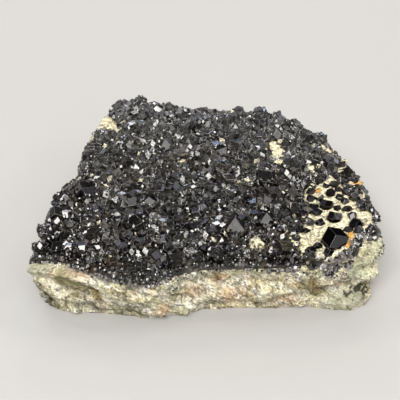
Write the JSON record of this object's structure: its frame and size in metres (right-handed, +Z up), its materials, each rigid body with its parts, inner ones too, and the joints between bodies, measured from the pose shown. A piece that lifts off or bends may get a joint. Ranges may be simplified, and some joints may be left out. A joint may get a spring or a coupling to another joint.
{
  "type": "garnet in matrix",
  "caption": "Mineral specimen: a crust of intergrown black garnet crystals on a broken slab of pale rock, with lone crystals in a bare knob of the rock. It rests on its flat underside.",
  "frame": {"origin": "on the flat underside, at the middle of the slab's plan", "axes": "+Z up, away from the underside, +X along the slab's length to the right, and -Y towards the broken front wall"},
  "size_m": [0.1482, 0.123, 0.0344],
  "materials": {
    "rock": "rough broken rock, matt",
    "garnet": "glossy crystal faces"
  },
  "bodies": {
    "root": {"matrix": "rock", "garnet_crust": "garnet", "garnet_largest": "garnet", "garnet_right": "garnet", "garnet_middle": "garnet", "garnet_left": "garnet", "garnet_upper": "garnet"}
  },
  "joints": []
}
